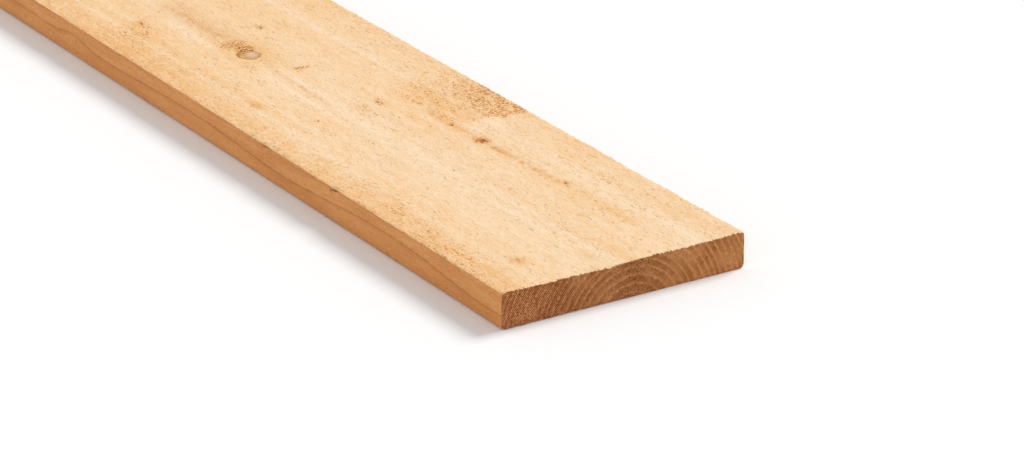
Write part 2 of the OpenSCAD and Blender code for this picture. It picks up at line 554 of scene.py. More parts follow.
def in_box(box, rightward, upward):
    """Places on the map: the corner of the box plus these shares of its width and height."""
    left, bottom, width, height = box
    return np.stack([left + width * rightward, bottom + height * upward], axis=-1).reshape(-1, 2)


def band_places():
    """The skin round the two sides and the sawn face: the length to the right and the girth upwards."""
    station = quads(np.broadcast_to(np.arange(STATIONS)[:, None], chain_n.shape))
    column = quads(np.broadcast_to(np.arange(CHAIN), chain_n.shape))
    girth = np.concatenate([[0], np.cumsum(np.hypot(np.diff(chain_y), np.diff(chain_z)))])
    upward = (girth / girth[-1])[column]
    middle = np.searchsorted(along_lines, LENGTH / MM / 2)
    halves = [along_lines[:middle + 1], along_lines[middle:]]
    shares = [(half[-1] - along_lines[station]) / (half[-1] - half[0]) for half in halves]
    near, far = [in_box(box, share, upward) for box, share in zip(BAND_BOXES, shares)]
    return np.where(np.repeat(station[:, 0] < middle, 4)[:, None], near, far)


def under_places(faces):
    """The underside as seen from below: the length to the right and the width upwards."""
    x, y, _ = np.moveaxis(points[faces], -1, 0)
    return in_box(UNDER_BOX, 0.5 - x / LENGTH, 0.5 + y / WIDTH)


def end_places(faces, box, side):
    """An end seen from outside: the width to the right, or to the left for side -1, the height upwards."""
    _, y, z = np.moveaxis(points[faces], -1, 0)
    return in_box(box, 0.5 + side * y / WIDTH, z / THICKNESS)


def keep_map(mesh, places):
    """Store a place on the map for each corner of each face."""
    layer = mesh.uv_layers.new(name=MAP_NAME)
    layer.uv.foreach_set("vector", places.astype(np.float32).ravel())


places = [band_places()]
groups = [(under_quads, near_quads, far_quads), (under_triangles, near_triangles, far_triangles)]
for under, near, far in groups:
    places += [under_places(under), end_places(near, NEAR_BOX, 1), end_places(far, FAR_BOX, -1)]
keep_map(plank_mesh, np.concatenate(places))
print("unfolded", len(plank_mesh.loops), "corners")

# %% [markdown]
# Growth rings, carried by the points
# A board is a slice through a tree, so the same rings must show as arcs on the end, as lines on the edges
# and as long figures on the faces. A flat pattern on each side would never agree at the corners.
# Each point therefore carries the number of rings between it and the pith, worked out in space.

# %% Rings counted from the pith
# Ring width at a distance from the pith, in mm, and how much narrower a ring is for each mm further out.
RING_WIDTH, WIDTH_AT, RING_NARROWING = 5.5, 30, 0.03
# A place on the left edge where a ring shows as a dark line: along, across and down from the sawn face.
RING_LINE_AT = (207, 0, 11.3)
# The slow roll of the rings: height everywhere, extra height towards the near end and its reach, in mm.
ROLL, EXTRA_ROLL, EXTRA_REACH = 0.25, 0.55, 330
# A roll's length, where along it crests, in mm, and how far the crest lags for each mm across.
ROLL_LENGTH, ROLL_CREST, ROLL_LAG = 260, 142, 0.4
# Uneven rings: height and length in mm, and phase, of waves over the distance from the pith.
UNEVEN_WAVES = [(0.45, 23, 0.5), (0.2, 9.7, 0)]
# A slight wavering of the rings: its spread, and its size along, across and up, in mm.
RING_WAVER, RING_WAVER_SIZE = 0.07, (260, 60, 60)


def from_pith(x, y, z):
    """Distance from the pith in mm, with a slow roll, uneven rings and a little wavering."""
    along, across = to_marks(x, y)
    radius = np.hypot(across - PITH_ACROSS, z / MM - PITH_UP)
    rolling = np.cos(2 * np.pi * (along - ROLL_CREST - ROLL_LAG * across) / ROLL_LENGTH)
    roll = (ROLL + EXTRA_ROLL * bell(along, EXTRA_REACH)) * rolling
    uneven = sum(high * np.sin(2 * np.pi * radius / long + phase) for high, long, phase in UNEVEN_WAVES)
    return radius + uneven - roll + RING_WAVER * waver(43, RING_WAVER_SIZE, x, y, z)


def ring_count(radius):
    """Rings inside a radius when their width falls evenly: minus the log of width over the narrowing."""
    return -np.log(RING_WIDTH - RING_NARROWING * (radius - WIDTH_AT)) / RING_NARROWING


line_x, line_y = to_frame(*RING_LINE_AT[:2])
ring_zero = ring_count(from_pith(line_x, line_y, THICKNESS - RING_LINE_AT[2] * MM))
rings = ring_count(from_pith(*points.T)) - ring_zero
print("rings counted from", rings.min().round(1), "to", rings.max().round(1))

# %% [markdown]
# Grain that flows round the knots
# Water parts round a post in a stream, and grain parts round a knot in the same way.
# The stream function of that flow says how far across the stream each point really is,
# so patterns drawn on these moved coordinates bend round every knot by themselves.

# %% Flow coordinates and bulging rings
# A knot bends the grain this many times further along the board than across it.
FLOW_STRETCH = 2.2
# Limits of a knot's thickness inside the board, as shares of its radius at the surface.
THINNEST, THICKEST = 0.02, 1.3
# How soft the flow is inside a knot, how many radii the rings bulge, and the bulge's reach, squared.
FLOW_SOFTNESS, BULGE, BULGE_REACH = 0.35, 0.5, 3


def knot_axis(along, across, up):
    """Pith point of a knot, unit axis from there to the surface, and that axis's length, in metres."""
    x, y = to_frame(along, across)
    pith = np.array([x, to_frame(0, PITH_ACROSS)[1], PITH_UP * MM])
    axis = np.array([x, y, up * MM]) - pith
    reach = np.linalg.norm(axis)
    return pith, axis / reach, reach


grain = points.copy()
for along, across, up, radius in list(KNOTS.values()) + SWIRLS:
    pith, axis, reach = knot_axis(along, across, up)
    away = points - pith
    out = away @ axis
    sideways = np.cross([1.0, 0, 0], axis)
    side_off = away @ sideways
    spread = np.square(away[:, 0] / FLOW_STRETCH) + np.square(side_off)
    size = np.square(radius * MM * np.clip(out / reach, THINNEST, THICKEST))
    grain -= (side_off * size / (spread + FLOW_SOFTNESS * size) * (out > 0))[:, None] * sideways
    rings -= BULGE * np.sqrt(size) / MM / RING_WIDTH * np.exp(-spread / (BULGE_REACH * size)) * (out > 0)


def carry(mesh, name, kind, values):
    """Store one value for each point under a name that materials can read."""
    attribute = mesh.attributes.new(name, kind, "POINT")
    field = {"FLOAT": "value", "FLOAT_VECTOR": "vector", "FLOAT_COLOR": "color"}[kind]
    attribute.data.foreach_set(field, np.ascontiguousarray(values, dtype=np.float32).ravel())


carry(plank_mesh, "rings", "FLOAT", rings)
carry(plank_mesh, "grain", "FLOAT_VECTOR", grain)
print("grain moved by up to", (np.abs(grain - points).max() / MM).round(1), "mm")

# %% [markdown]
# Broad colour of the sawn face
# Fresh softwood is pale straw, golden where resin or heartwood shows and orange where the grain is torn.
# These broad stains are soft, so they are painted per point, as bells laid over each other.
# Colours are written as the hex values a designer would pick and turned to linear light by one function.

# %% Strips, streaks and stains
STRAW, PALE, GOLD, AMBER = "#F9D8B0", "#FDE7CA", "#F3C184", "#EFAE62"
# Strips along the whole board: across, half width in mm, colour and amount.
STRIPS = [(9, 14, "#F0BE84", 0.75), (0, 3.0, "#DDA466", 0.4), (27, 1.8, PALE, 0.5), (35, 2.5, GOLD, 0.3),
          (76, 13, PALE, 0.35), (151, 6, PALE, 0.3), (112, 9, GOLD, 0.12), (176, 9, GOLD, 0.25)]
# Streaks along the grain: where each begins and ends along the board, across at its beginning and its end,
# half width in mm, colour and amount.
STREAKS = [
    (-40, 170, 89, 86, 1.9, PALE, 0.6), (160, 290, 86, 67, 1.9, PALE, 0.6),
    (285, 430, 67, 66, 1.7, PALE, 0.45), (70, 150, 77, 76, 1.6, PALE, 0.5),
    (240, 325, 79, 73, 1.6, PALE, 0.5), (360, 430, 81, 80, 1.6, PALE, 0.5),
    (465, 560, 62, 62, 3, PALE, 0.5), (500, 640, 67, 72, 5, PALE, 0.4),
    (275, 425, 22, 21, 1.4, PALE, 0.45), (-20, 70, 150, 155, 3, PALE, 0.4),
    (335, 600, 147, 144, 2.2, PALE, 0.6), (85, 140, 152, 156, 3, PALE, 0.4),
    (325, 436, 75, 77, 2.2, "#EBB380", 0.6), (474, 595, 79, 75, 8, "#E4AF76", 0.8),
    (480, 600, 86, 88, 7, "#E6B57E", 0.4), (515, 580, 84, 91, 1.8, GOLD, 0.5),
    (35, 135, 133, 132, 4, "#EBB26A", 0.5), (120, 232, 131.5, 127, 3, "#DB9844", 0.85),
    (222, 305, 126.5, 124, 3, "#DE9C4A", 0.5), (295, 360, 124, 126, 4, GOLD, 0.4),
    (20, 200, 163, 160, 6, GOLD, 0.3), (700, 860, 90, 86, 2.2, PALE, 0.5),
    (1000, 1170, 118, 119, 2.2, GOLD, 0.6), (1205, 1290, 118, 117, 4.5, "#EDB673", 0.6),
    (1380, 1560, 53, 52, 2.6, "#DDA35C", 0.5), (1450, 1700, 120, 112, 2.2, PALE, 0.5),
    (430, 760, 10, 10, 14, "#E8B478", 0.35), (-20, 200, 24, 24, 9, "#EFBC80", 0.2),
]
# Stains: along, across, half length, half width in mm, colour and amount.
STAINS = [
    (456, 77, 27, 15, "#F2C07A", 0.75), (464, 87, 22, 8, "#F0B974", 0.45),
    (471, 79, 12, 10, "#E5AC62", 0.6), (432, 79, 14, 5, "#EDC188", 0.6),
    (226, 128.6, 8, 5, "#D88E40", 0.75), (261, 126, 3, 2.4, "#C98A48", 0.7),
    (132, 134, 3.5, 2.6, "#D88E44", 0.7), (38, 37, 7, 4, "#DFA864", 0.6),
    (325, 105.6, 5, 2.2, "#D59C58", 0.6), (365, 32, 9, 3, "#DFA864", 0.5),
    (536, 34, 24, 10, "#EDB26A", 0.5), (552, 42, 7, 3.5, "#D99A52", 0.6),
    (411, 96, 3, 5, "#DCA868", 0.5), (499, 111, 5, 2.6, "#D29B59", 0.6),
    (22, 78, 10, 5, "#E6B57A", 0.5), (3, 70, 4, 8, "#E6B57A", 0.5),
    (1182, 118, 24, 14, "#F2C07A", 0.75), (1202, 119, 11, 9, "#E5AC62", 0.6),
    (1497, 52, 10, 5, "#D88E40", 0.6), (298, 141, 46, 15, "#F2B76A", 0.5),
    (247, 150, 11, 15, PALE, 0.45),
]
print(len(STRIPS) + len(STREAKS), "streaks and", len(STAINS), "stains")

# %% Paint the tone
# A streak fades in and out over this many mm at its ends.
STREAK_FADE = 25
# The drift to gold: everywhere, how much more far along, between which places along in mm, and its spread.
DRIFT, FAR_DRIFT, DRIFT_FROM_TO, DRIFT_SPREAD = 0.06, 0.36, (200, 620), 0.12
# Tints of fine streaks and of mottling, for above and below their middle: colour and amount.
FINE_TINTS = [(PALE, 0.10), (GOLD, 0.12)]
MOTTLE_TINTS = [(PALE, 0.08), ("#F0B674", 0.13)]
# Strips and streaks are patchy: their middle cover, and the spread of long and of short patches.
PATCHY, LONG_PATCHES, SHORT_PATCHES = 0.8, 0.2, 0.3
# Amber starts at this much tear and covers up to this amount.
AMBER_FROM, AMBER_AMOUNT = 0.1, 0.52


def linear(code):
    """Linear red, green and blue of an sRGB hex code: the standard curve, undone."""
    value = np.array([int(code[i:i + 2], 16) for i in (1, 3, 5)]) / 255
    return np.where(value <= 0.04045, value / 12.92, ((value + 0.055) / 1.055) ** 2.4)


def streak_cover(along, across, begin, end, start_across, end_across, half_width):
    """A bell across a straight line from one place to another, fading in and out at its ends."""
    line = start_across + (end_across - start_across) * np.clip((along - begin) / (end - begin), 0, 1)
    fade_in, fade_out = ramp(along, begin, begin + STREAK_FADE), ramp(along, end - STREAK_FADE, end)
    return bell(across - line, half_width) * fade_in * (1 - fade_out)


def sawn_tone(x, y):
    """Straw, covered in turn by gold, fine streaks, mottling, strips, streaks, stains and tears: each layer
    moves the colour towards its own by amount times cover."""
    along, across = to_marks(x, y)
    drift = DRIFT + FAR_DRIFT * ramp(along, *DRIFT_FROM_TO) + DRIFT_SPREAD * waver(50, (260, 34), x, y)
    layers = [(np.clip(drift, 0, 1), GOLD, 1.0)]
    fine, mottle = waver(51, (220, 5), x, y), waver(53, (16, 7), x, y, waves=60)
    for pattern, tints in ((fine, FINE_TINTS), (mottle, MOTTLE_TINTS)):
        layers += [(np.clip(side * pattern, 0, 2), *tint) for side, tint in zip((1, -1), tints)]
    patchy = PATCHY + LONG_PATCHES * waver(52, (45, 12), x, y)
    patchy = patchy + SHORT_PATCHES * waver(54, (9, 3), x, y, waves=60)
    layers += [(bell(across - at, half) * patchy, code, amount) for at, half, code, amount in STRIPS]
    layers += [(streak_cover(along, across, *line) * patchy, code, amount)
               for *line, code, amount in STREAKS]
    layers += [(bell(np.hypot((along - at) / half, (across - over) / wide), 1), code, amount)
               for at, over, half, wide, code, amount in STAINS]
    layers.append((np.clip(torn(along, across) - AMBER_FROM, 0, 1), AMBER, AMBER_AMOUNT))
    colour = np.broadcast_to(linear(STRAW), (len(x), 3))
    for cover, code, amount in layers:
        share = np.clip(amount * cover, 0, 1)[:, None]
        colour = colour + share * (linear(code) - colour)
    return np.concatenate([colour, np.ones((len(x), 1))], axis=1)


carry(plank_mesh, "tone", "FLOAT_COLOR", sawn_tone(points[:, 0], points[:, 1]))
carry(plank_mesh, "torn", "FLOAT", torn(*to_marks(points[:, 0], points[:, 1])))
print("painted", len(points), "points")

# %% [markdown]
# One function for shader nodes
# Materials are trees of nodes. Adding a node always means the same four things: pick its kind,
# set its options, fill its inputs and link them, so one function does that for every kind.
# A few more put nodes together for jobs that come back: a noise of a real size, a colour laid over another.
# A node's inputs may be listed in order. For Map Range: a value, its start and end, and both results.

# %% Add a node
def add(tree, kind, inputs=(), stops=(), **options):
    """Add a node of a kind, with its operation after a space. Options are its properties and stops a ramp's
    colours. Inputs, in order or named, are values, hex colours, sockets, or nodes for their first output."""
    kind, _, operation = kind.partition(" ")
    node = tree.nodes.new("ShaderNode" + kind)
    if operation:
        node.operation = operation
    for name, value in options.items():
        setattr(node, name, value)
    for key, value in inputs.items() if isinstance(inputs, dict) else enumerate(inputs):
        named = [socket for socket in node.inputs if socket.enabled and socket.name == key]
        socket = named[0] if named else node.inputs[key]
        if isinstance(value, bpy.types.Node):
            value = next(output for output in value.outputs if output.enabled)
        if isinstance(value, bpy.types.NodeSocket):
            tree.links.new(value, socket)
        else:
            socket.default_value = (*linear(value), 1) if isinstance(value, str) else value
    for place, (position, code) in enumerate(stops):
        elements = node.color_ramp.elements
        element = elements[place] if place < 2 else elements.new(position)
        element.position = position
        element.color = (*linear(code), 1)
    return node


def new_material(name, roughness, specular):
    """A material of that name with one Principled shader, its tree and the shader to fill in."""
    material = bpy.data.materials.new(name)
    material.use_nodes = True
    shader = material.node_tree.nodes["Principled BSDF"]
    shader.inputs["Roughness"].default_value = roughness
    shader.inputs["Specular IOR Level"].default_value = specular
    return material, material.node_tree, shader


def dress(tree, shader, colour, height, depth, strength):
    """Link a colour to a shader, and a bump of that height pattern, this many mm deep."""
    bump = add(tree, "Bump", {"Height": height, "Distance": depth * MM, "Strength": strength})
    tree.links.new(next(output for output in colour.outputs if output.enabled), shader.inputs["Base Color"])
    tree.links.new(bump.outputs["Normal"], shader.inputs["Normal"])


print("nodes are added by one function")

# %% Put nodes together
# How scattered the middles of torn cells are, from 0 for a grid to 1.
SCATTER = 0.7


def per_mm(along, across):
    """Scale for a Mapping node, so that one unit of pattern is this many mm along and across the grain."""
    return (1 / (along * MM), 1 / (across * MM), 1 / (across * MM))


def patterns(tree, place, table):
    """A noise for each row of a table: its size along and across the grain in mm, and its detail."""
    fields = {}
    for name, (along, across, detail) in table.items():
        at = add(tree, "Mapping", {"Vector": place, "Scale": per_mm(along, across)})
        fields[name] = add(tree, "TexNoise", {"Vector": at, "Scale": 1.0, "Detail": detail})
    return fields


def torn_cells(tree, place, pitch):
    """Scattered cells, this many mm apart along and across: distance from the nearest middle, in pitches."""
    at = add(tree, "Mapping", {"Vector": place, "Scale": per_mm(*pitch)})
    settings = {"Vector": at, "Scale": 1.0, "Randomness": SCATTER}
    return add(tree, "TexVoronoi", settings, voronoi_dimensions="2D")


def made_ragged(tree, value, pattern, amount):
    """Value plus amount times (pattern less a half)."""
    value = add(tree, "Math MULTIPLY_ADD", [pattern, amount, value])
    return add(tree, "Math SUBTRACT", [value, amount / 2])


def from_mark(tree, place, centre, halves, turn=0):
    """Distance from an oval mark's centre, 1 at its rim: half sizes in mm, turned about Y by degrees."""
    settings = {"Vector": place, "Location": centre, "Rotation": (0, np.radians(turn), 0),
                "Scale": tuple(half * MM for half in halves)}
    at = add(tree, "Mapping", settings, vector_type="TEXTURE")
    return add(tree, "VectorMath LENGTH", [at])


def lay(tree, under, over, value, start, full, amount, where=None):
    """Lay a colour over another where a value goes from start to full, by up to an amount, times where.
    Gives the new colour and how much the upper one covers."""
    cover = add(tree, "MapRange", [value, start, full, 0, amount])
    if where is not None:
        cover = add(tree, "Math MULTIPLY", [cover, where])
    return add(tree, "Mix", {"Factor": cover, "A": under, "B": over}, data_type="RGBA"), cover


def darken(tree, colour, covers):
    """Multiply a colour by a ramp of each value, each by its amount."""
    for value, amount, stops in covers:
        tint = add(tree, "ValToRGB", {"Fac": value}, stops)
        colour = add(tree, "Mix", {"Factor": amount, "A": colour, "B": tint}, data_type="RGBA",
                     blend_type="MULTIPLY")
    return colour


print("torn cells are scattered by", SCATTER)

# %% [markdown]
# Knots through the board
# A knot is a branch that starts at the pith and grows outwards, so in the board it is a thin cone.
# The materials measure how far each spot is from the cone's axis, as a share of the cone's radius there.
# The core is a pinkish grey. Bark lines its far side, and beyond it the saw has torn holes in curved rows.

# %% A knot's cone
# Distances along the board count for less, so that a knot's outline is longer that way.
KNOT_SHAPE = (0.8, 1, 1)
# The least radius of the cone, in mm.
LEAST_RADIUS = 0.02
# The side of a branch on which its bark shows most.
BARK_WAY = (-0.62, -0.78, 0)


def knot_cone(tree, place, along, across, up, radius):
    """Distance from the cone's axis, the same as a share of its radius there (radius per length x way along
    the axis), and how far round each spot is to the side with the bark, from -1 to 1."""
    pith, axis, reach = knot_axis(along, across, up)
    away = add(tree, "VectorMath SUBTRACT", [place, tuple(pith)])
    out = add(tree, "VectorMath DOT_PRODUCT", [away, tuple(axis)])
    foot = add(tree, "VectorMath SCALE", {0: tuple(axis), "Scale": out})
    aside = add(tree, "VectorMath SUBTRACT", [away, foot])
    aside = add(tree, "VectorMath MULTIPLY", [aside, KNOT_SHAPE])
    heading = add(tree, "VectorMath NORMALIZE", [aside])
    to_bark = add(tree, "VectorMath DOT_PRODUCT", [heading, BARK_WAY])
    apart = add(tree, "VectorMath LENGTH", [aside])
    width = add(tree, "Math MULTIPLY", [out, radius * MM / reach])
    width = add(tree, "Math MAXIMUM", [width, LEAST_RADIUS * MM])
    return apart, add(tree, "Math DIVIDE", [apart, width]), to_bark


print("bark shows most towards", BARK_WAY)

# %% Bark and torn rows of a branch
BARK = "#945628"
# In radii: where the line of bark is, without and with bark, and how far off it starts and is full.
BARK_AT, BARK_WIDTH = (0.9, 0.94), (0.15, 0.03)
# How strong it is on those two sides, and where round the knot that changes.
BARK_AMOUNTS, BARK_TURNS = (0.35, 0.85), (-0.5, 0.8)
# The torn rows are arcs round the knot: the radius of the first and their pitch, in mm.
ROW_START, ROW_PITCH = 8.5, 4.4
# How much the arcs gather the holes. Then where an orange rim and a brown hole, its brown painted shade,
# start and are full.
ROW_GATHER = 0.06
ROW_TINTS = [(0.40, 0.52, "#D99158"), (0.47, 0.58, "#7A3D1C")]
# Patches of torn rows: further along and across than the knot, half length, half width in mm, amount.
ROW_PATCHES = [(12.0, 3.4, 8.0, 7.0, 1.0), (25.0, 0.6, 8.5, 11.5, 0.5), (5.5, -3.6, 4.5, 3.5, 0.8)]
# How deep such a patch goes, in mm, and where its rim starts and is full.
PATCH_DEEP, PATCH_RIM = 8, (1.15, 0.7)


def with_bark(tree, colour, share, to_bark, amount):
    """A narrow band of bark where the share of the radius is nearly 1, stronger on the side with bark."""
    bark_at = add(tree, "MapRange", [to_bark, -1, 1, *BARK_AT])
    off_line = add(tree, "Math SUBTRACT", [share, bark_at])
    off_line = add(tree, "Math ABSOLUTE", [off_line])
    strength = add(tree, "MapRange", [to_bark, *BARK_TURNS, BARK_AMOUNTS[0], BARK_AMOUNTS[1] * amount])
    return lay(tree, colour, BARK, off_line, *BARK_WIDTH, 1.0, where=strength)[0]


def with_torn_rows(tree, colour, place, apart, holes, mark, amount):
    """Holes, gathered by a wave of the distance from the knot's axis, in a few patches beyond it."""
    along, across, up = mark
    turn = add(tree, "Math SUBTRACT", [apart, ROW_START * MM])
    turn = add(tree, "Math MULTIPLY", [turn, 2 * np.pi / (ROW_PITCH * MM)])
    row = add(tree, "Math COSINE", [turn])
    row = add(tree, "Math MULTIPLY_ADD", [row, ROW_GATHER, holes])
    zone = 0.0
    for further, over, half_length, half_width, strength in ROW_PATCHES:
        centre = (*to_frame(along + further, across + over), up * MM)
        off = from_mark(tree, place, centre, (half_length, half_width, PATCH_DEEP))
        patch = add(tree, "MapRange", [off, *PATCH_RIM, 0, strength])
        zone = add(tree, "Math MAXIMUM", [patch, zone])
    # The dark brown of the holes is painted shade.
    for start, full, code in ROW_TINTS:
        colour, _ = lay(tree, colour, code, row, start, full, amount, where=zone)
    return colour


print(len(ROW_PATCHES), "patches of torn rows beyond each branch")

# %% Draw the knots over a colour
BRANCH_STOPS = [(0.0, "#E4C0A6"), (0.40, "#DBB194"), (0.62, "#CDA06E"), (0.82, "#DDAA70"), (1.0, "#E8B978")]
PIN_STOPS = [(0.0, "#85491C"), (0.3, "#A25E2A"), (0.6, "#CA8440"), (1.0, "#DDA058")]
# How ragged and how soft the outline of each kind is, in radii, and how far the core leans off the middle.
BRANCH_RAGGED, BRANCH_SOFT, PIN_RAGGED, PIN_SOFT, CORE_LEAN = 0.36, 0.1, 1.6, 0.35, 0.2
KNOT_PATTERNS = {"rough": (4, 4, 2.0)}
# Torn holes are about this far apart along and across, in mm. Their pattern is this high in the middle.
HOLE_PITCH, HOLE_HEIGHT = (2.2, 2.2), 0.85


def with_knots(tree, colour, amount):
    """Lay every knot over a colour, where the share of its radius is less than 1. A branch also has bark and
    torn rows. A pin knot's outline is broken up by the same torn holes."""
    place = add(tree, "TexCoord").outputs["Object"]
    rough = patterns(tree, place, KNOT_PATTERNS)["rough"]
    holes = add(tree, "Math SUBTRACT", [HOLE_HEIGHT, torn_cells(tree, place, HOLE_PITCH)])
    for name, (*mark, radius) in KNOTS.items():
        is_branch = "branch" in name
        pattern, ragged, soft, stops = holes, PIN_RAGGED, PIN_SOFT, PIN_STOPS
        if is_branch:
            pattern, ragged, soft, stops = rough, BRANCH_RAGGED, BRANCH_SOFT, BRANCH_STOPS
        apart, share, to_bark = knot_cone(tree, place, *mark, radius)
        share = made_ragged(tree, share, pattern, ragged)
        core = add(tree, "Math MULTIPLY_ADD", [to_bark, CORE_LEAN, share])
        tint = add(tree, "ValToRGB", {"Fac": core}, stops)
        colour, _ = lay(tree, colour, tint, share, 1 + soft, 1 - soft, amount)
        if is_branch:
            colour = with_bark(tree, colour, share, to_bark, amount)
            colour = with_torn_rows(tree, colour, place, apart, holes, mark, amount)
    return colour


print("each material draws", len(KNOTS), "knots")

# %% [markdown]
# Rough sawn softwood
# The saw leaves the face matt and furry: pale fibre ends, short dark flecks where a fibre was pulled out,
# and rows of small scales where it is torn. The flecks and the hearts of the scales are brown partly as
# painted shade of the small holes. The eye reads it as dry and creamy, with no shine.
# Every pattern lies on the flow coordinates, with its size along and across the grain in millimetres.

# %% The sawn face
# Real fibres are far thinner than these bundles of them, which are drawn as coarse as they need to show.
SAWN_PATTERNS = {"cluster": (26, 8, 2.0), "fibre": (7, 1.5, 4.0), "speck": (1.8, 1.1, 2.0),
                 "dash": (2.8, 1.05, 1.0)}
# Layers: pattern, weights of torn and cluster, where it starts and is full, colour and amount.
# The last, dark brown dash layer is partly painted shade of small holes where fibres were pulled out.
SAWN_LAYERS = [
    ("fibre", 0.0, 0.0, 0.50, 0.74, "#EDBE82", 0.3), ("fibre", 0.0, 0.0, 0.50, 0.26, "#FFE5C4", 0.5),
    ("speck", 0.06, 0.30, 0.60, 0.76, "#D89E58", 0.6), ("dash", 0.25, 0.36, 0.66, 0.80, "#E5A352", 0.75),
    ("dash", 0.25, 0.36, 0.75, 0.88, "#A0662E", 0.75),
]
# Tears beyond this amount no longer add to those layers. They show as rows of torn scales instead.
MOST_FOR_FLECKS = 0.4
# Scales are this far apart along and across the grain, in mm.
SCALE_PITCH = (3.4, 1.9)
# How far a scale reaches, as a share of that spacing: for a full tear, for none, and how much more by luck.
SCALE_PER_TEAR, SCALE_AT_NO_TEAR, SCALE_LUCK = 0.42, -0.13, 0.14
# Tints of a scale: how far beyond its reach each starts and is full, colour and amount.
# The first is the orange torn rim; the second, the brown heart, is painted shade of the hole.
SCALE_TINTS = [(0.16, 0.0, "#E8A856", 0.6), (0.0, -0.12, "#A86424", 0.75)]
# Heights of the specks and of the scales' hearts in the bump, next to the fibres.
SPECK_HEIGHT, SCALE_HEIGHT = 0.8, -0.1


def rough_sawn():
    """Tone by point, then layers: each covers where pattern plus torn plus cluster passes a limit. Then torn
    scales, which are cells that reach further the more the face is torn, and the knots."""
    material, tree, shader = new_material("rough_sawn_softwood", roughness=0.9, specular=0.2)
    colour = add(tree, "Attribute", attribute_name="tone").outputs["Color"]
    tears = add(tree, "Attribute", attribute_name="torn").outputs["Fac"]
    flow = add(tree, "Attribute", attribute_name="grain").outputs["Vector"]
    field = patterns(tree, flow, SAWN_PATTERNS)
    mild = add(tree, "Math MINIMUM", [tears, MOST_FOR_FLECKS])
    for name, torn_share, cluster_share, start, full, code, amount in SAWN_LAYERS:
        value = add(tree, "Math MULTIPLY_ADD", [mild, torn_share, field[name]])
        value = add(tree, "Math MULTIPLY_ADD", [field["cluster"], cluster_share, value])
        # The cluster noise is about a half on average, so both limits rise by half its weight.
        middle = cluster_share / 2
        colour, _ = lay(tree, colour, code, value, start + middle, full + middle, amount)
    scales = torn_cells(tree, flow, SCALE_PITCH)
    luck = add(tree, "SeparateColor", [scales.outputs["Color"]])
    luck = add(tree, "Math MULTIPLY_ADD", [luck, SCALE_LUCK, SCALE_AT_NO_TEAR])
    reach = add(tree, "Math MULTIPLY_ADD", [tears, SCALE_PER_TEAR, luck])
    beyond = add(tree, "Math SUBTRACT", [scales, reach])
    # The brown heart of each scale is painted shade of its hole.
    for start, full, code, amount in SCALE_TINTS:
        colour, heart = lay(tree, colour, code, beyond, start, full, amount)
    colour = with_knots(tree, colour, amount=0.9)
    relief = add(tree, "Math MULTIPLY_ADD", [field["speck"], SPECK_HEIGHT, field["fibre"]])
    relief = add(tree, "Math MULTIPLY_ADD", [heart, SCALE_HEIGHT, relief])
    dress(tree, shader, colour, relief, depth=0.6, strength=0.7)
    return material


sawn_material = rough_sawn()
print(sawn_material.name, "has", len(sawn_material.node_tree.nodes), "nodes")

# %% [markdown]
# Planed softwood
# Turning knives leave the edges and the underside smooth, so they look darker and warmer than the face.
# Towards the left edge the tan is darker and more orange still: painted shade and warm bounce light.
# Each ring shows there as one thin brown line of dense late wood, fading in from the early wood inside it.

# %% The planed edges and underside
PLANED_PATTERNS = {"cloud": (60, 10, 2.0), "streak": (60, 1.5, 3.0), "fuzz": (4, 1.0, 3.0)}
# Colours of the left and the right edge, over the clouds. The left one is darker and more orange:
# painted shade and warm bounce light.
LEFT_SHADE_STOPS, RIGHT_STOPS = [(0.3, "#D7924F"), (0.7, "#E3A260")], [(0.3, "#DDA468"), (0.7, "#E8B47C")]
STREAK_STOPS, FUZZ_STOPS = [(0.3, "#F0E0D0"), (0.65, "#FFFFFF")], [(0.32, "#EADBCA"), (0.56, "#FFFFFF")]
# How strong streaks and fuzz are, and the height of the fuzz in the bump, next to the streaks.
STREAK_AMOUNT, FUZZ_AMOUNT, FUZZ_HEIGHT = 0.4, 0.7, 0.8
# From one ring's line to the next.
LINE_STOPS = [(0.0, "#B07C52"), (0.05, "#FFFFFF"), (0.6, "#FFFFFF"), (0.94, "#F0DFCE"), (1.0, "#B07C52")]
# How ragged the lines are, in rings, and how strong a plain line and every third one are.
LINE_RAGGED, PLAIN_LINE, THIRD_LINE = 0.12, 0.34, 0.56
# Dark nicks in the left edge, painted shade in its chips and a crack:
# along, down from the face, half length, half height in mm, degrees, amount.
NICKS = [(203, 1.6, 7, 0.9, -12, 0.85), (209, 3.2, 4.5, 0.8, 30, 0.8), (297, 1.8, 7, 0.8, -8, 0.5),
         (352, 1.5, 4, 0.7, 10, 0.35), (571, 12.5, 6, 0.6, 35, 0.4)]
# How deep they go in mm, how ragged they are, where they start and are full, and their colour, a brown of
# painted shade.
NICK_DEEP, NICK_RAGGED, NICK_RIM, NICK_SHADE_BROWN = 6, 1.4, (1.7, 1.0), "#6E3F1C"


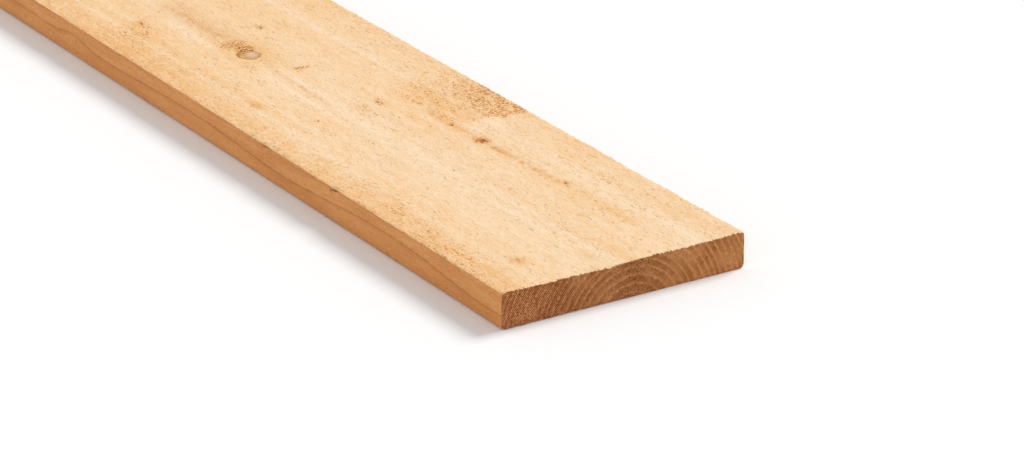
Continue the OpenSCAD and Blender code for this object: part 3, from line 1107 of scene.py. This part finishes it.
def planed():
    """Warm tan, darker and more orange towards the left edge as painted shade and warm bounce light,
    streaked along the grain, with a thin ragged line where the ring count is whole, every third one
    stronger, and dark nicks, partly painted shade in chips."""
    material, tree, shader = new_material("planed_softwood", roughness=0.6, specular=0.3)
    flow = add(tree, "Attribute", attribute_name="grain").outputs["Vector"]
    count = add(tree, "Attribute", attribute_name="rings").outputs["Fac"]
    place = add(tree, "TexCoord").outputs["Object"]
    field = patterns(tree, flow, PLANED_PATTERNS)
    left_edge = add(tree, "ValToRGB", {"Fac": field["cloud"]}, LEFT_SHADE_STOPS)
    right_edge = add(tree, "ValToRGB", {"Fac": field["cloud"]}, RIGHT_STOPS)
    width_way = add(tree, "SeparateXYZ", [place]).outputs["Y"]
    # Darker and more orange towards the left edge: painted shade and warm bounce light.
    colour, _ = lay(tree, left_edge, right_edge, width_way, -WIDTH / 4, WIDTH / 2, 1.0)
    late = made_ragged(tree, count, field["fuzz"], LINE_RAGGED)
    late = add(tree, "Math FRACT", [late])
    third = add(tree, "Math MULTIPLY", [count, 2 * np.pi / 3])
    # This cosine is 1 at every third line and minus a half at the others.
    third = add(tree, "Math COSINE", [third])
    strength = add(tree, "MapRange", [third, -0.5, 1, PLAIN_LINE, THIRD_LINE])
    colour = darken(tree, colour, [(field["streak"], STREAK_AMOUNT, STREAK_STOPS),
                                   (field["fuzz"], FUZZ_AMOUNT, FUZZ_STOPS), (late, strength, LINE_STOPS)])
    # Each nick darkens the edge: painted shade in the chips and the crack.
    for along, down, half_length, half_height, turn, amount in NICKS:
        centre = (*to_frame(along, 0), THICKNESS - down * MM)
        apart = from_mark(tree, place, centre, (half_length, NICK_DEEP, half_height), turn)
        apart = add(tree, "Math MULTIPLY_ADD", [field["fuzz"], NICK_RAGGED, apart])
        colour, _ = lay(tree, colour, NICK_SHADE_BROWN, apart, *NICK_RIM, amount)
    colour = with_knots(tree, colour, amount=0.6)
    relief = add(tree, "Math MULTIPLY_ADD", [field["fuzz"], FUZZ_HEIGHT, field["streak"]])
    dress(tree, shader, colour, relief, depth=0.12, strength=0.6)
    return material


planed_material = planed()
print(planed_material.name, "has", len(planed_material.node_tree.nodes), "nodes")

# %% [markdown]
# Cross-cut end grain
# On the cut ends we look into open fibres, which swallow light: the wood turns a deep brown.
# Dense late wood stays paler there, so the rings are light arcs, crossed by the slanting marks of the saw.

# %% The cut ends
# Real pores are too fine to show, so these are drawn coarser.
CUT_PATTERNS = {"rough": (2.4, 2.4, 3.0), "pore": (1.1, 1.1, 2.0), "cloud": (14, 14, 1.0)}
# Saw marks: pitch in mm and slant in degrees. A wave of scale 1 repeats 20 times in two pi.
MARK_PITCH, MARK_SLANT = 1.05, -33
MARK_SCALE = 2 * np.pi / 20 / (MARK_PITCH * MM)
# Colours from the left edge to the right one.
CUT_STOPS = [(0.12, "#F0AE78"), (0.42, "#DB9E6A"), (0.56, "#D69A66"), (0.85, "#E0A169")]
# From one ring's pale line to the next, and the shades of rough wood, pores and saw marks.
ARC_STOPS = [(0.0, "#FFFFFF"), (0.24, "#DACABB"), (0.74, "#CFBDAB"), (1.0, "#FFFFFF")]
ROUGH_STOPS, PORE_STOPS = [(0.3, "#DCCBBA"), (0.6, "#FFFFFF")], [(0.34, "#A4866C"), (0.54, "#FFFFFF")]
MARK_STOPS = [(0.0, "#A08268"), (0.7, "#FFFFFF")]
# How strong the rough wood is, and the height of the saw marks in the bump, next to the pores.
ROUGH_AMOUNT, MARK_HEIGHT = 0.8, 0.6
# How ragged the arcs are, in rings, how clear at least, and between which cloud values that changes.
ARC_RAGGED, ARC_LEAST, ARC_CLOUDS = 0.4, 0.4, (0.35, 0.62)
# Where the saw marks are faint and full, in metres from the centre line, and how strong they are at least.
MARK_FAINT, MARK_FULL, MARK_LEAST = -0.01, -0.05, 0.4
# The wood beside the pith is rougher: its middle, and how far from it that starts and is full, in metres.
HEART_Y, HEART_START, HEART_FULL = 0.006, 0.026, 0.01


def cross_cut():
    """Brown with paler arcs where the ring count is whole, dark pores, and saw marks, most on the left."""
    material, tree, shader = new_material("cross_cut_end_grain", roughness=0.95, specular=0.15)
    place = add(tree, "TexCoord").outputs["Object"]
    width_way = add(tree, "SeparateXYZ", [place]).outputs["Y"]
    count = add(tree, "Attribute", attribute_name="rings").outputs["Fac"]
    field = patterns(tree, place, CUT_PATTERNS)
    late = made_ragged(tree, count, field["rough"], ARC_RAGGED)
    late = add(tree, "Math FRACT", [late])
    clear = add(tree, "MapRange", [field["cloud"], *ARC_CLOUDS, ARC_LEAST, 1])
    slant = add(tree, "Mapping", {"Vector": place, "Rotation": (np.radians(MARK_SLANT), 0, 0)})
    marks = add(tree, "TexWave", {"Vector": slant, "Scale": MARK_SCALE, "Distortion": 2.0, "Detail": 2.0},
                bands_direction="Y")
    marked = add(tree, "MapRange", [width_way, MARK_FAINT, MARK_FULL, MARK_LEAST, 1])
    off_heart = add(tree, "Math SUBTRACT", [width_way, HEART_Y])
    off_heart = add(tree, "Math ABSOLUTE", [off_heart])
    heart = add(tree, "MapRange", [off_heart, HEART_START, HEART_FULL, 0, 1])
    rough_part = add(tree, "Math MAXIMUM", [heart, marked])
    share = add(tree, "MapRange", [width_way, -WIDTH / 2, WIDTH / 2, 0, 1])
    colour = add(tree, "ValToRGB", {"Fac": share}, CUT_STOPS)
    colour = darken(tree, colour, [(late, clear, ARC_STOPS), (field["rough"], ROUGH_AMOUNT, ROUGH_STOPS),
                                   (field["pore"], rough_part, PORE_STOPS), (marks, marked, MARK_STOPS)])
    relief = add(tree, "Math MULTIPLY_ADD", [marks, MARK_HEIGHT, field["pore"]])
    dress(tree, shader, colour, relief, depth=0.3, strength=0.6)
    return material


cut_material = cross_cut()
for material in (sawn_material, planed_material, cut_material):
    plank_mesh.materials.append(material)
print(cut_material.name, "has", len(cut_material.node_tree.nodes), "nodes")

# %% [markdown]
# Loose fibres
# A saw tears thousands of short fibres half out of the wood. Bump alone would leave a smooth outline,
# so they are real slivers: closed spindles of eight points, bedded in the face and lifted at one end.
# Their places are drawn from a seeded generator and kept more often where the face is torn. A single
# fibre is too thin to show, so each sliver is as thick as a small bundle of them. Larger torn spots are
# set one by one, and splinters line the rims that the cross-cut saw broke. All are joined into one mesh.

# %% Draw the places of slivers
SLIVERS_DRAWN = 40000
# Places are drawn this far in from the ends and from the edges, in mm.
END_INSET, EDGE_INSET = 1, 0.6
# The chance to keep a drawn sliver: everywhere, more in clusters, and more where the face is torn.
CHANCE, CLUSTER_CHANCE, TORN_CHANCE = 0.12, 0.14, 0.5
draw = np.random.default_rng(61)
drawn_along = draw.uniform(END_INSET, LENGTH / MM - END_INSET, SLIVERS_DRAWN)
drawn_across = draw.uniform(EDGE_INSET, WIDTH / MM - EDGE_INSET, SLIVERS_DRAWN)
drawn_x, drawn_y = to_frame(drawn_along, drawn_across)
clusters = np.clip(waver(62, (40, 12), drawn_x, drawn_y), 0, 2)
drawn_tears = torn(drawn_along, drawn_across)
chance = CHANCE + CLUSTER_CHANCE * clusters + TORN_CHANCE * drawn_tears
kept = draw.uniform(0, 1, SLIVERS_DRAWN) < chance
LOOSE = kept.sum()
print(LOOSE, "slivers of", SLIVERS_DRAWN, "kept")

# %% Torn spots and rim splinters
# Single torn-out spots, flat slivers whose brown is partly painted shade of the pits:
# along, across, length, width in mm, turn in degrees from the grain and how brown.
SINGLE_SPOTS = np.array([
    (413.3, 93.3, 5.5, 3.2, 72, 0.68), (410.5, 99, 5.5, 3, 68, 0.58), (411.9, 96.2, 5, 1.8, 60, 0.5),
    (325, 105.6, 6, 1.5, 6, 0.8), (316, 53, 4, 1.6, 20, 0.8), (444, 95, 3, 1.4, 30, 0.4),
    (437, 84, 2.6, 1.2, 10, 0.4), (440, 79, 2.4, 1.2, 0, 0.35), (460, 104, 3.4, 1.4, 15, 0.4),
    (474, 107, 4.5, 1.5, 20, 0.55), (479, 105.5, 3, 1.4, -10, 0.45), (499, 111.5, 6, 1.6, 8, 0.42),
    (552, 43, 9, 1.8, 12, 0.85), (546, 41, 5, 1.5, 4, 0.6), (534, 38, 6, 1.6, 6, 0.7),
    (260, 125.7, 3.6, 2.4, 20, 0.75), (302, 140, 3.4, 1.8, 10, 0.6), (321, 142, 3.6, 1.8, 0, 0.6),
    (132, 134, 3.6, 2, 10, 0.6), (274, 87.5, 4, 1.5, 15, 0.5), (322, 106.8, 4, 1.4, 10, 0.6),
    (306, 93, 9, 1.3, 6, 0.45), (41, 38, 4.5, 1.6, 0, 0.35),
])
# Splinters on the upper rim of each end: how many, how far in from the edges, and from least to most,
# length, width in mm and how brown, with the spread of their turn in degrees. Their deep brown is painted
# shade: the colour of the end in its shade.
RIM_COUNT, RIM_INSET, RIM_TURN = 170, 1.5, 16
RIM_LENGTHS, RIM_WIDTHS, RIM_SHADE_BROWNS = (1.4, 4.6), (0.5, 1.9), (0.85, 1.0)
rim_draw = np.random.default_rng(64)
rim_splinters = np.stack([
    np.repeat([0, LENGTH / MM], RIM_COUNT),
    rim_draw.uniform(RIM_INSET, WIDTH / MM - RIM_INSET, 2 * RIM_COUNT),
    rim_draw.uniform(*RIM_LENGTHS, 2 * RIM_COUNT), rim_draw.uniform(*RIM_WIDTHS, 2 * RIM_COUNT),
    rim_draw.normal(0, RIM_TURN, 2 * RIM_COUNT), rim_draw.uniform(*RIM_SHADE_BROWNS, 2 * RIM_COUNT)], axis=1)
placed = np.concatenate([SINGLE_SPOTS, rim_splinters])
placed_along, placed_across, placed_length, placed_width, placed_turn, placed_brown_and_shade = placed.T
print(len(placed), "spots and splinters set in place")

# %% Sizes of the slivers
# Loose slivers, from least to most in mm: length, half width and lift of the loose tip.
LOOSE_LENGTHS, LOOSE_HALVES, LOOSE_LIFTS = (1.4, 5.0), (0.14, 0.32), (0.0, 0.22)
# Half thickness as a share of a loose sliver's half width, and of the others in mm.
LOOSE_THICK, PLACED_THICK = 0.3, 0.2
# Spread of a loose sliver's turn from the grain, in radians.
LOOSE_TURN = 0.12
sliver_x = np.concatenate([drawn_x[kept], to_frame(placed_along, 0)[0]])
sliver_y = np.concatenate([drawn_y[kept], to_frame(0, placed_across)[1]])
sliver_length = MM * np.concatenate([draw.uniform(*LOOSE_LENGTHS, LOOSE), placed_length])
sliver_half = MM * np.concatenate([draw.uniform(*LOOSE_HALVES, LOOSE), placed_width / 2])
sliver_thick = np.concatenate([LOOSE_THICK * sliver_half[:LOOSE], np.full(len(placed), PLACED_THICK * MM)])
sliver_lift = MM * np.concatenate([draw.uniform(*LOOSE_LIFTS, LOOSE), np.zeros(len(placed))])
sliver_turn = np.concatenate([draw.normal(0, LOOSE_TURN, LOOSE) + np.pi * draw.integers(0, 2, LOOSE),
                              np.radians(180 - placed_turn)])
SLIVERS = len(sliver_x)
print("longest sliver", round(sliver_length.max() / MM, 1), "mm")

# %% Spindles
# A spindle's points: how far along it each is from 0 to 1, how far to its right, the turn round its line
# in degrees, and its thickness there.
SPINDLE_WAY = np.array([0, 0.3, 0.3, 0.3, 0.7, 0.7, 0.7, 1.0])
SPINDLE_RIGHT = np.array([0.5, 0.5, 1, 0, 0.5, 1, 0, 0.5])
SPINDLE_ROUND = np.radians([0, 90, 210, 330, 90, 210, 330, 0])
SPINDLE_THICK = np.array([0, 1, 1, 1, 0.8, 0.8, 0.8, 0])
SPINDLE_TRIANGLES = np.array([[0, 2, 1], [0, 3, 2], [0, 1, 3], [7, 4, 5], [7, 5, 6], [7, 6, 4]])
SPINDLE_QUADS = np.array([[1, 2, 5, 4], [2, 3, 6, 5], [3, 1, 4, 6]])
SPINDLE_POINTS = len(SPINDLE_WAY)
# Slivers stay this far inside the edges. Their middle line floats by this share of their thickness.
EDGE_CLEAR, FLOAT_SHARE = 0.3 * MM, 0.2
# The lift grows along a sliver by this power.
LIFT_POWER = 1.5


def spindles(x, y, length, half_width, half_thick, lift, turn):
    """Points of closed spindles: a tip, two triangles round the line and a tip, rising along the line."""
    forth = (SPINDLE_WAY - 0.5) * length[:, None]
    aside = half_width[:, None] * SPINDLE_THICK * np.cos(SPINDLE_ROUND)
    point_x = x[:, None] + forth * np.cos(turn)[:, None] - aside * np.sin(turn)[:, None]
    point_y = y[:, None] + forth * np.sin(turn)[:, None] + aside * np.cos(turn)[:, None]
    limit = WIDTH / 2 - EDGE_CLEAR
    point_x, point_y = np.clip(point_x, -LENGTH / 2, LENGTH / 2), np.clip(point_y, -limit, limit)
    swell = half_thick[:, None] * SPINDLE_THICK * (FLOAT_SHARE + np.sin(SPINDLE_ROUND))
    rise = lift[:, None] * SPINDLE_WAY ** LIFT_POWER + swell
    point_z = sawn_height(point_x, point_y) + rise
    return np.stack([point_x, point_y, np.minimum(point_z, THICKNESS)], axis=-1)


sliver_points = spindles(sliver_x, sliver_y, sliver_length, sliver_half, sliver_thick, sliver_lift,
                         sliver_turn)
first = SPINDLE_POINTS * np.arange(SLIVERS)[:, None, None]
sliver_quads = (first + SPINDLE_QUADS).reshape(-1, 4)
sliver_triangles = (first + SPINDLE_TRIANGLES).reshape(-1, 3)
fibre_mesh = mesh_from("raised_fibres", sliver_points.reshape(-1, 3), sliver_quads, sliver_triangles)
fibre_mesh.shade_smooth()
fibres = put_in_scene("raised_fibres", fibre_mesh)
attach(fibres, "root")
print(SLIVERS, "slivers,", 2 * len(sliver_quads) + len(sliver_triangles), "triangles")

# %% Unfold the slivers
# On the map, each sliver lies in a cell of its own, as seen from above and clear of the cell's border.
CELL_BORDER, CELL_ROOM = 0.1, 0.8
MAP_CELLS = int(np.ceil(np.sqrt(SLIVERS)))
cell = np.stack(np.divmod(np.arange(SLIVERS), MAP_CELLS), axis=-1)[:, None]
in_cell = CELL_ROOM * np.stack([SPINDLE_RIGHT, SPINDLE_WAY], axis=-1)
sliver_places = (cell + CELL_BORDER + in_cell) / MAP_CELLS
sliver_corners = np.concatenate([sliver_quads.ravel(), sliver_triangles.ravel()])
keep_map(fibre_mesh, sliver_places.reshape(-1, 2)[sliver_corners])
print("slivers lie in", MAP_CELLS, "x", MAP_CELLS, "cells of their map")

# %% [markdown]
# The colour of loose fibres
# Most slivers are as pale as the face. The torn ones are tan to brown: partly resin that they carry out of
# the wood, and partly painted shade of the small holes they stand over. Each sliver carries one colour: that
# of the face under it, moved towards brown or towards a bleached tone.

# %% Loose fibre material
FIBRE_PATTERNS = {"fine": (1.5, 1.5, 2.0)}
FIBRE_STOPS, FIBRE_AMOUNT = [(0.35, "#E4D2BC"), (0.6, "#FFFFFF")], 0.7
# The brown is partly resin and partly painted shade of the holes under torn slivers.
TORN_BROWN, BLEACHED = "#A9692C", "#FFEBD0"
# How brown loose slivers are, from resin and painted shade: middle, spread, how much more in a full tear,
# and the limits.
BROWN, BROWN_SPREAD, TORN_BROWNING, BROWN_LIMITS = 0.06, 0.2, 0.35, (-0.5, 0.7)


def lifted_fibre():
    """The sliver's own tone, whose brown is partly painted shade, dry and matt."""
    material, tree, shader = new_material("lifted_softwood_fibre", roughness=0.9, specular=0.2)
    tone = add(tree, "Attribute", attribute_name="tone").outputs["Color"]
    place = add(tree, "TexCoord").outputs["Object"]
    fine = patterns(tree, place, FIBRE_PATTERNS)["fine"]
    colour = darken(tree, tone, [(fine, FIBRE_AMOUNT, FIBRE_STOPS)])
    dress(tree, shader, colour, fine, depth=0.1, strength=0.4)
    return material


ground_tone = sawn_tone(sliver_x, sliver_y)[:, :3]
# Brown here is partly resin and partly painted shade.
brown_and_shade = draw.normal(BROWN, BROWN_SPREAD, LOOSE) + TORN_BROWNING * drawn_tears[kept]
brown_and_shade = np.concatenate([np.clip(brown_and_shade, *BROWN_LIMITS), placed_brown_and_shade])[:, None]
toward = np.where(brown_and_shade > 0, linear(TORN_BROWN), linear(BLEACHED))
sliver_tone = ground_tone + np.abs(brown_and_shade) * (toward - ground_tone)
sliver_tone = np.concatenate([sliver_tone, np.ones((SLIVERS, 1))], axis=1)
carry(fibre_mesh, "tone", "FLOAT_COLOR", np.repeat(sliver_tone, SPINDLE_POINTS, axis=0))
fibre_mesh.materials.append(lifted_fibre())
print("slivers are from", brown_and_shade.min().round(2), "to", brown_and_shade.max().round(2), "brown")

# %% [markdown]
# Floor and light
# The board lies on a plain white floor in soft studio light: an even white surround, one broad lamp
# high on the right and behind, and a weak fill from the front left that keeps the edge and the end readable.
# Together they give the upper face about one unit of light, so colours come out as they were written.

# %% Floor
# Half its side and its gap under the board, in metres, and how white it is.
FLOOR_HALF, FLOOR_GAP, FLOOR_WHITE = 12.0, 0.0002, 0.98
floor_corners = FLOOR_HALF * np.array([[-1, -1, 0], [1, -1, 0], [1, 1, 0], [-1, 1, 0]]) - [0, 0, FLOOR_GAP]
floor_mesh = mesh_from("floor", floor_corners, np.array([[0, 1, 2, 3]]), np.empty((0, 3)))
floor = put_in_scene("floor", floor_mesh)
paper, _, paper_shader = new_material("white_floor", roughness=1.0, specular=0.0)
paper_shader.inputs["Base Color"].default_value = (FLOOR_WHITE, FLOOR_WHITE, FLOOR_WHITE, 1)
floor_mesh.materials.append(paper)
print("floor of", 2 * FLOOR_HALF, "m")

# %% Surround and lamps
# The surround looks white, but lights the board by this much.
SKY_LIGHT = 0.52
world = bpy.data.worlds.new("white_surround")
bpy.context.scene.world = world
world.use_nodes = True
sky = world.node_tree
path = add(sky, "LightPath").outputs
seen = add(sky, "Math MAXIMUM", [path["Is Camera Ray"], path["Is Glossy Ray"]])
seen = add(sky, "Math MAXIMUM", [seen, path["Is Transmission Ray"]])
brightness = add(sky, "MapRange", [seen, 0, 1, SKY_LIGHT, 1])
sky.links.new(brightness.outputs[0], sky.nodes["Background"].inputs["Strength"])
sky.nodes["Background"].inputs["Color"].default_value = (1, 1, 1, 1)

# Lamps: direction they shine from, width in degrees, and light on a surface that faces them.
LAMPS = {"broad_lamp": ((-0.10, 0.78, 0.80), 25, 0.62), "weak_fill": ((0.62, -0.72, 0.32), 60, 0.20)}
for name, (shines_from, spread, light) in LAMPS.items():
    lamp_data = bpy.data.lights.new(name, "SUN")
    lamp_data.angle = np.radians(spread)
    lamp_data.energy = light * np.pi
    lamp = put_in_scene(name, lamp_data)
    lamp.rotation_euler = Vector(shines_from).to_track_quat("Z", "Y").to_euler()
print(len(LAMPS), "lamps over a surround of", SKY_LIGHT)

# %% [markdown]
# Camera
# The photograph was taken with a long lens, looking down at the near end over the left corner.
# Its focal length and place were solved from the corners and edges of the board in the picture.
# The near upper left corner is the anchor: its place seen from the camera is known in millimetres.

# %% Aim the camera
FOCAL_PIXELS, FRAME_PIXELS = 4300, 1024
PITCH_DOWN, TURN_LEFT = np.radians(22.736), np.radians(32.59)
CORNER_FROM_CAMERA = np.array([-6.44, 2433.82, -1064.28]) * MM
SENSOR_WIDTH, CLIP_END = 36.0, 100
ahead = np.array([-np.cos(TURN_LEFT), np.sin(TURN_LEFT), 0])
right = np.array([ahead[1], -ahead[0], 0])
up = np.array([0, 0, 1])
corner = np.array([LENGTH / 2, -WIDTH / 2, THICKNESS])
eye = corner - CORNER_FROM_CAMERA @ np.stack([right, ahead, up])
view_line = ahead * np.cos(PITCH_DOWN) - up * np.sin(PITCH_DOWN)
view_up = ahead * np.sin(PITCH_DOWN) + up * np.cos(PITCH_DOWN)
camera_data = bpy.data.cameras.new("camera")
camera_data.sensor_width = SENSOR_WIDTH
camera_data.lens = FOCAL_PIXELS / FRAME_PIXELS * SENSOR_WIDTH
camera_data.clip_end = CLIP_END
camera = put_in_scene("camera", camera_data)
facing = Matrix((right, view_up, -view_line)).transposed().to_4x4()
camera.matrix_world = Matrix.Translation(eye) @ facing
bpy.context.scene.camera = camera
bpy.context.scene.view_settings.view_transform = "Standard"
print("camera at", (eye / MM).round(), "mm with a", round(camera_data.lens), "mm lens")
